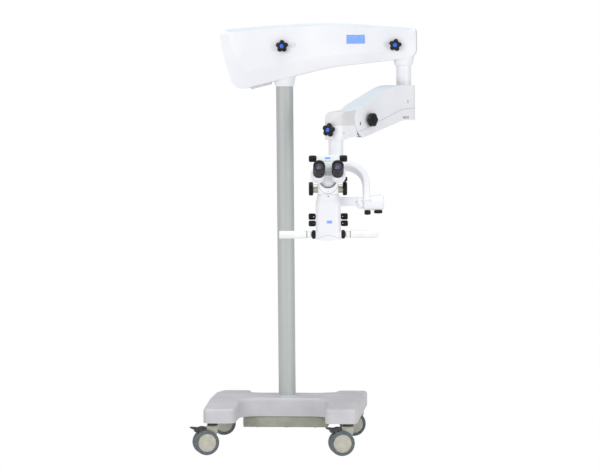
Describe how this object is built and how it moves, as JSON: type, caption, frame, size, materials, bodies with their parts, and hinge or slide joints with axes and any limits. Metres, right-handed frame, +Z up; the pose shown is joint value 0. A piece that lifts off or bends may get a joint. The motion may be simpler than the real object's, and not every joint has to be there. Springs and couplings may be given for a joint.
{
  "type": "surgical microscope stand",
  "caption": "Operating microscope on a wheeled floor stand: column, swinging boom, balanced arm that stays level, tilting head with a binocular, handles and control knobs.",
  "frame": {"origin": "on the floor, under the middle of the whole stand's bounding box", "axes": "+Z up, -Y towards the viewer, +X to the viewer's right along the boom"},
  "size_m": [0.9064, 0.9157, 1.7298],
  "materials": {
    "base_paint": "satin powder coat",
    "frame_paint": "matt primer",
    "ballast_paint": "painted casting",
    "column_metal": "satin anodised",
    "caster_plastic": "moulded",
    "tyre_rubber": "satin",
    "dark_plastic": "moulded",
    "boom_casting": "satin",
    "white_paint": "satin white",
    "pale_paint": "satin blue-grey",
    "cap_paint": "moulded",
    "black_knob": "fine grain",
    "steel_part": "machined",
    "bar_metal": "satin",
    "grip_rubber": "soft matt",
    "coated_glass": "coated"
  },
  "bodies": {
    "stand": {"base_cover": "base_paint", "base_frame": "frame_paint", "ballast_weight": "ballast_paint", "column_tube": "column_metal"},
    "caster_front_left": {"caster_fork_front_left": "caster_plastic"},
    "wheels_front_left": {"caster_hubs_front_left": "caster_plastic", "caster_tyres_front_left": "tyre_rubber"},
    "pedal_front_left": {"brake_pedal_front_left": "dark_plastic"},
    "caster_front_right": {"caster_fork_front_right": "caster_plastic"},
    "wheels_front_right": {"caster_hubs_front_right": "caster_plastic", "caster_tyres_front_right": "tyre_rubber"},
    "pedal_front_right": {"brake_pedal_front_right": "dark_plastic"},
    "caster_rear_left": {"caster_fork_rear_left": "caster_plastic"},
    "wheels_rear_left": {"caster_hubs_rear_left": "caster_plastic", "caster_tyres_rear_left": "tyre_rubber"},
    "pedal_rear_left": {"brake_pedal_rear_left": "dark_plastic"},
    "caster_rear_right": {"caster_fork_rear_right": "caster_plastic"},
    "wheels_rear_right": {"caster_hubs_rear_right": "caster_plastic", "caster_tyres_rear_right": "tyre_rubber"},
    "pedal_rear_right": {"brake_pedal_rear_right": "dark_plastic"},
    "boom": {"boom_beam": "boom_casting", "boom_front_cover": "white_paint", "boom_rear_cover": "white_paint"},
    "boom_knob": {"boom_lock_knob": "black_knob"},
    "arm_knob": {"arm_swing_knob": "black_knob"},
    "arm_root": {"drop_tube": "column_metal", "arm_rear_bracket": "steel_part", "rear_pivot_pins": "steel_part"},
    "upper_arm": {"arm_upper_link": "steel_part", "arm_upper_cover": "pale_paint", "arm_lower_cover": "white_paint", "balance_spring": "steel_part"},
    "lower_arm": {"arm_lower_link": "steel_part"},
    "coupling": {"front_coupling": "white_paint", "coupling_cap": "cap_paint", "front_pivot_pins": "steel_part"},
    "lift_knob": {"arm_lift_knob": "black_knob"},
    "head_knob": {"head_swing_knob": "black_knob"},
    "yoke": {"head_yoke": "white_paint"},
    "tilt_knob": {"tilt_lock_knob": "black_knob"},
    "balance": {"balance_knob": "black_knob"},
    "head": {"tilt_carrier": "white_paint", "optics_body": "white_paint", "objective_ring": "black_knob", "objective_lens": "coated_glass", "handle_bar": "bar_metal", "left_grip": "grip_rubber", "right_grip": "grip_rubber"},
    "magnification": {"magnification_discs": "black_knob"},
    "filter": {"filter_knobs": "black_knob"},
    "aperture": {"aperture_knobs": "black_knob"},
    "bino_knob": {"binocular_lock_knob": "black_knob"},
    "binocular": {"binocular_body": "white_paint"},
    "eyepiece_left": {"left_eyepiece": "white_paint"},
    "eyepiece_right": {"right_eyepiece": "white_paint"},
    "eyecup_left": {"left_eyecup": "grip_rubber", "left_ocular_lens": "coated_glass"},
    "eyecup_right": {"right_eyecup": "grip_rubber", "right_ocular_lens": "coated_glass"},
    "distance_knobs": {"eye_distance_knobs": "black_knob"}
  },
  "joints": [
    {"name": "swivel_front_left", "type": "hinge", "parent": "stand", "child": "caster_front_left", "pos_m": [-0.362, -0.14, 0.13], "axis": [0, 0, 1], "continuous": true},
    {"name": "roll_front_left", "type": "hinge", "parent": "caster_front_left", "child": "wheels_front_left", "pos_m": [-0.38831, -0.14958, 0.05], "axis": [0.342, -0.9397, 0], "continuous": true},
    {"name": "brake_front_left", "type": "hinge", "parent": "caster_front_left", "child": "pedal_front_left", "pos_m": [-0.39301, -0.15129, 0.104], "axis": [0.342, -0.9397, 0], "range_deg": [0, 8]},
    {"name": "swivel_front_right", "type": "hinge", "parent": "stand", "child": "caster_front_right", "pos_m": [0.186, -0.14, 0.13], "axis": [0, 0, 1], "continuous": true},
    {"name": "roll_front_right", "type": "hinge", "parent": "caster_front_right", "child": "wheels_front_right", "pos_m": [0.15895, -0.14725, 0.05], "axis": [0.2588, -0.9659, 0], "continuous": true},
    {"name": "brake_front_right", "type": "hinge", "parent": "caster_front_right", "child": "pedal_front_right", "pos_m": [0.15412, -0.14854, 0.104], "axis": [0.2588, -0.9659, 0], "range_deg": [0, 8]},
    {"name": "swivel_rear_left", "type": "hinge", "parent": "stand", "child": "caster_rear_left", "pos_m": [-0.362, 0.424, 0.13], "axis": [0, 0, 1], "continuous": true},
    {"name": "roll_rear_left", "type": "hinge", "parent": "caster_rear_left", "child": "wheels_rear_left", "pos_m": [-0.38958, 0.41914, 0.05], "axis": [0.1736, -0.9848, 0], "continuous": true},
    {"name": "brake_rear_left", "type": "hinge", "parent": "caster_rear_left", "child": "pedal_rear_left", "pos_m": [-0.3945, 0.41827, 0.104], "axis": [0.1736, -0.9848, 0], "range_deg": [0, 8]},
    {"name": "swivel_rear_right", "type": "hinge", "parent": "stand", "child": "caster_rear_right", "pos_m": [0.186, 0.424, 0.13], "axis": [0, 0, 1], "continuous": true},
    {"name": "roll_rear_right", "type": "hinge", "parent": "caster_rear_right", "child": "wheels_rear_right", "pos_m": [0.16062, 0.41217, 0.05], "axis": [0.4226, -0.9063, 0], "continuous": true},
    {"name": "brake_rear_right", "type": "hinge", "parent": "caster_rear_right", "child": "pedal_rear_right", "pos_m": [0.15609, 0.41005, 0.104], "axis": [0.4226, -0.9063, 0], "range_deg": [0, 8]},
    {"name": "boom_swing", "type": "hinge", "parent": "stand", "child": "boom", "pos_m": [-0.088, 0.142, 1.51], "axis": [0, 0, 1], "range_deg": [-170, 170]},
    {"name": "boom_lock", "type": "hinge", "parent": "boom", "child": "boom_knob", "pos_m": [-0.089, 0.082, 1.638], "axis": [0, -1, 0], "range_deg": [0, 180]},
    {"name": "arm_swing_lock", "type": "hinge", "parent": "boom", "child": "arm_knob", "pos_m": [0.371, 0.082, 1.638], "axis": [0, -1, 0], "range_deg": [0, 180]},
    {"name": "arm_swing", "type": "hinge", "parent": "boom", "child": "arm_root", "pos_m": [0.4, 0.142, 1.6], "axis": [0, 0, 1], "range_deg": [-15, 180]},
    {"name": "arm_lift", "type": "hinge", "parent": "arm_root", "child": "upper_arm", "pos_m": [0.4, 0.142, 1.417], "axis": [-0.8141, 0.5807, 0], "range_deg": [-26, 20]},
    {"name": "arm_level", "type": "hinge", "parent": "arm_root", "child": "lower_arm", "pos_m": [0.4, 0.142, 1.377], "axis": [-0.8141, 0.5807, 0], "range_deg": [-27, 21]},
    {"name": "coupling_level", "type": "hinge", "parent": "upper_arm", "child": "coupling", "pos_m": [0.23595, -0.08799, 1.347], "axis": [-0.8141, 0.5807, 0], "range_deg": [-21, 27]},
    {"name": "arm_lift_lock", "type": "hinge", "parent": "upper_arm", "child": "lift_knob", "pos_m": [0.28101, -0.11092, 1.34], "axis": [0.8141, -0.5807, 0], "range_deg": [0, 180]},
    {"name": "head_swing_lock", "type": "hinge", "parent": "coupling", "child": "head_knob", "pos_m": [0.13355, -0.24659, 1.303], "axis": [-0.3987, -0.9171, 0], "range_deg": [0, 180]},
    {"name": "head_swing", "type": "hinge", "parent": "coupling", "child": "yoke", "pos_m": [0.1503, -0.20807, 1.29], "axis": [0, 0, 1], "range_deg": [-150, 90]},
    {"name": "tilt_lock", "type": "hinge", "parent": "yoke", "child": "tilt_knob", "pos_m": [0.27774, -0.26305, 0.985], "axis": [0, 0, -1], "range_deg": [0, 180]},
    {"name": "balance_set", "type": "hinge", "parent": "yoke", "child": "balance", "pos_m": [0.31951, -0.25866, 0.985], "axis": [0, 0, -1], "range_deg": [0, 180]},
    {"name": "head_tilt", "type": "hinge", "parent": "yoke", "child": "head", "pos_m": [0.15741, -0.2757, 1.016], "axis": [0.9945, 0.1045, 0], "range_deg": [-8, 40]},
    {"name": "magnification_turn", "type": "hinge", "parent": "head", "child": "magnification", "pos_m": [0.15866, -0.28763, 1.074], "axis": [0.9945, 0.1045, 0], "continuous": true},
    {"name": "filter_turn", "type": "hinge", "parent": "head", "child": "filter", "pos_m": [0.15908, -0.29161, 0.965], "axis": [0.9945, 0.1045, 0], "range_deg": [-120, 120]},
    {"name": "aperture_turn", "type": "hinge", "parent": "head", "child": "aperture", "pos_m": [0.16075, -0.30752, 0.939], "axis": [0.9945, 0.1045, 0], "range_deg": [-120, 120]},
    {"name": "binocular_lock", "type": "hinge", "parent": "head", "child": "bino_knob", "pos_m": [0.18064, -0.30543, 1.112], "axis": [0.9945, 0.1045, 0], "range_deg": [0, 180]},
    {"name": "binocular_tilt", "type": "hinge", "parent": "head", "child": "binocular", "pos_m": [0.16075, -0.30752, 1.112], "axis": [0.9945, 0.1045, 0], "range_deg": [-20, 30]},
    {"name": "eye_distance_left", "type": "slide", "parent": "binocular", "child": "eyepiece_left", "axis": [0.9945, 0.1045, 0], "range_m": [-0.0015, 0.0105]},
    {"name": "eye_distance_right", "type": "slide", "parent": "binocular", "child": "eyepiece_right", "axis": [0.9945, 0.1045, 0], "range_m": [-0.0115, 0.0025]},
    {"name": "eye_distance_turn", "type": "hinge", "parent": "binocular", "child": "distance_knobs", "pos_m": [0.16521, -0.34998, 1.19359], "axis": [0.9945, 0.1045, 0], "range_deg": [-20, 160]},
    {"name": "focus_left", "type": "hinge", "parent": "eyepiece_left", "child": "eyecup_left", "pos_m": [0.10374, -0.4348, 1.16311], "axis": [0.0923, -0.8781, 0.4695], "range_deg": [-170, 170]},
    {"name": "focus_right", "type": "hinge", "parent": "eyepiece_right", "child": "eyecup_right", "pos_m": [0.17535, -0.42728, 1.16311], "axis": [0.0923, -0.8781, 0.4695], "range_deg": [-170, 170]}
  ],
  "couplings": [
    {"joint": "arm_level", "follows": "arm_lift", "ratio": 1},
    {"joint": "coupling_level", "follows": "arm_lift", "ratio": -1},
    {"joint": "eye_distance_right", "follows": "eye_distance_left", "ratio": -1},
    {"joint": "eye_distance_turn", "follows": "eye_distance_left", "rad_per_m": 220}
  ]
}
